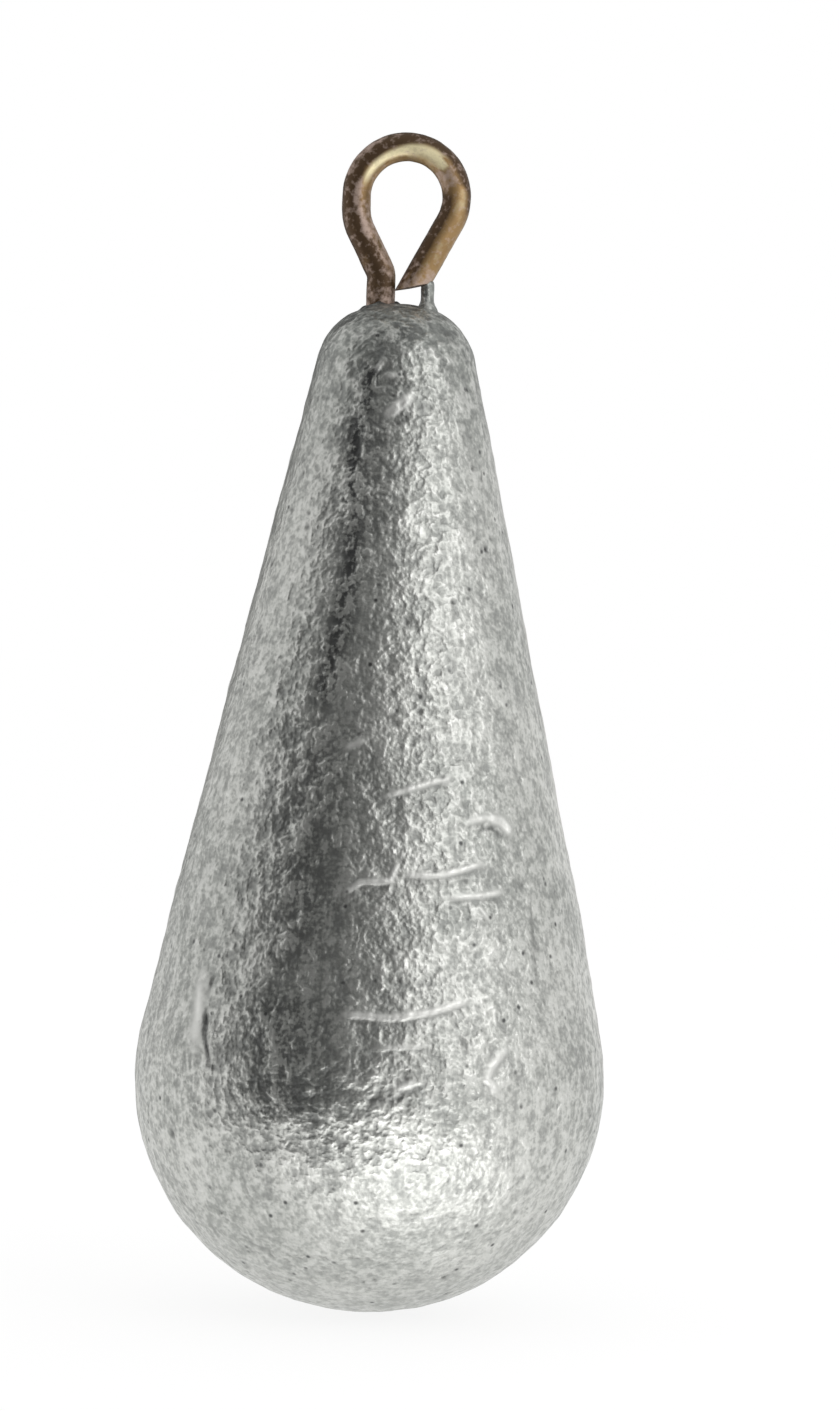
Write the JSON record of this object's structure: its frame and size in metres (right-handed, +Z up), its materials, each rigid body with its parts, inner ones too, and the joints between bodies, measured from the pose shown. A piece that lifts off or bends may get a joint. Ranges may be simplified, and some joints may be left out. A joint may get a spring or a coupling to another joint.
{
  "type": "fishing sinker",
  "caption": "Pear-shaped cast lead fishing sinker with a bent brass wire eye cast into its narrow end, for hanging on a line.",
  "frame": {"origin": "on the casting's axis, level with the centre of the wire eye's loop", "axes": "+Z up the casting's axis and out past the eye, +Y through the eye's loop and away from the viewer of the picture"},
  "size_m": [0.026, 0.026, 0.065],
  "materials": {
    "cast_lead": "matte",
    "brass_wire": "satin"
  },
  "bodies": {
    "root": {"lead_body": "cast_lead", "wire_eye": "brass_wire"}
  },
  "joints": []
}
